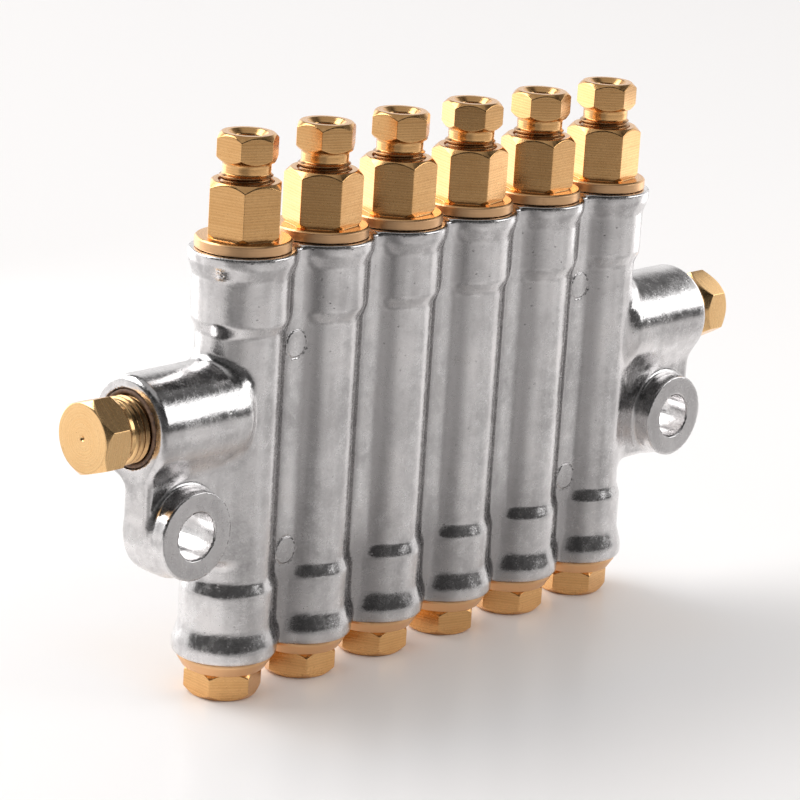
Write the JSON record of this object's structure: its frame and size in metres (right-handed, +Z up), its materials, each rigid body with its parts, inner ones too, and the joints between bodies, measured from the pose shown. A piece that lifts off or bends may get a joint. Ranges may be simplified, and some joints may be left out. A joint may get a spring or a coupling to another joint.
{
  "type": "lubricant divider block",
  "caption": "Die-cast lubricant divider block: a row of metering wells with brass tube outlets on top, screw plugs below, a plugged gallery and a mounting lug at each end.",
  "frame": {"origin": "on the surface that the block stands on, below the middle of the row", "axes": "+X along the row of wells, -Y out of the mounting pads, +Z up through the outlets"},
  "size_m": [0.1352, 0.0156, 0.083],
  "materials": {
    "cast_metal": "as cast, satin",
    "brass": "machined",
    "steel": "ground",
    "rubber": "moulded"
  },
  "bodies": {
    "block": {"casting": "cast_metal", "left_gallery_plug": "brass", "right_gallery_plug": "brass", "tube_sleeves": "brass", "outlet_fitting_1": "brass", "outlet_fitting_2": "brass", "outlet_fitting_3": "brass", "outlet_fitting_4": "brass", "outlet_fitting_5": "brass", "outlet_fitting_6": "brass", "compression_nut_1": "brass", "compression_nut_2": "brass", "compression_nut_3": "brass", "compression_nut_4": "brass", "compression_nut_5": "brass", "compression_nut_6": "brass", "valve_cage_1": "brass", "valve_cage_2": "brass", "valve_cage_3": "brass", "valve_cage_4": "brass", "valve_cage_5": "brass", "valve_cage_6": "brass", "bottom_plug_1": "brass", "bottom_plug_2": "brass", "bottom_plug_3": "brass", "bottom_plug_4": "brass", "bottom_plug_5": "brass", "bottom_plug_6": "brass", "return_spring_1": "steel", "return_spring_2": "steel", "return_spring_3": "steel", "return_spring_4": "steel", "return_spring_5": "steel", "return_spring_6": "steel", "outlet_o_rings": "rubber", "plug_o_rings": "rubber", "gallery_o_rings": "rubber"},
    "piston_1": {"metering_piston_1": "steel", "piston_seal_1": "rubber"},
    "piston_2": {"metering_piston_2": "steel", "piston_seal_2": "rubber"},
    "piston_3": {"metering_piston_3": "steel", "piston_seal_3": "rubber"},
    "piston_4": {"metering_piston_4": "steel", "piston_seal_4": "rubber"},
    "piston_5": {"metering_piston_5": "steel", "piston_seal_5": "rubber"},
    "piston_6": {"metering_piston_6": "steel", "piston_seal_6": "rubber"},
    "valve_1": {"umbrella_valve_1": "rubber"},
    "valve_2": {"umbrella_valve_2": "rubber"},
    "valve_3": {"umbrella_valve_3": "rubber"},
    "valve_4": {"umbrella_valve_4": "rubber"},
    "valve_5": {"umbrella_valve_5": "rubber"},
    "valve_6": {"umbrella_valve_6": "rubber"}
  },
  "joints": [
    {"name": "piston_stroke_1", "type": "slide", "parent": "block", "child": "piston_1", "axis": [0, 0, -1], "range_m": [0, 0.006], "stiffness_N_per_m": 500, "springref_m": -0.008, "deforming": ["return_spring_1"]},
    {"name": "piston_stroke_2", "type": "slide", "parent": "block", "child": "piston_2", "axis": [0, 0, -1], "range_m": [0, 0.006], "stiffness_N_per_m": 500, "springref_m": -0.008, "deforming": ["return_spring_2"]},
    {"name": "piston_stroke_3", "type": "slide", "parent": "block", "child": "piston_3", "axis": [0, 0, -1], "range_m": [0, 0.006], "stiffness_N_per_m": 500, "springref_m": -0.008, "deforming": ["return_spring_3"]},
    {"name": "piston_stroke_4", "type": "slide", "parent": "block", "child": "piston_4", "axis": [0, 0, -1], "range_m": [0, 0.006], "stiffness_N_per_m": 500, "springref_m": -0.008, "deforming": ["return_spring_4"]},
    {"name": "piston_stroke_5", "type": "slide", "parent": "block", "child": "piston_5", "axis": [0, 0, -1], "range_m": [0, 0.006], "stiffness_N_per_m": 500, "springref_m": -0.008, "deforming": ["return_spring_5"]},
    {"name": "piston_stroke_6", "type": "slide", "parent": "block", "child": "piston_6", "axis": [0, 0, -1], "range_m": [0, 0.006], "stiffness_N_per_m": 500, "springref_m": -0.008, "deforming": ["return_spring_6"]},
    {"name": "valve_lift_1", "type": "slide", "parent": "block", "child": "valve_1", "axis": [0, 0, 1], "range_m": [0, 0.001]},
    {"name": "valve_lift_2", "type": "slide", "parent": "block", "child": "valve_2", "axis": [0, 0, 1], "range_m": [0, 0.001]},
    {"name": "valve_lift_3", "type": "slide", "parent": "block", "child": "valve_3", "axis": [0, 0, 1], "range_m": [0, 0.001]},
    {"name": "valve_lift_4", "type": "slide", "parent": "block", "child": "valve_4", "axis": [0, 0, 1], "range_m": [0, 0.001]},
    {"name": "valve_lift_5", "type": "slide", "parent": "block", "child": "valve_5", "axis": [0, 0, 1], "range_m": [0, 0.001]},
    {"name": "valve_lift_6", "type": "slide", "parent": "block", "child": "valve_6", "axis": [0, 0, 1], "range_m": [0, 0.001]}
  ]
}
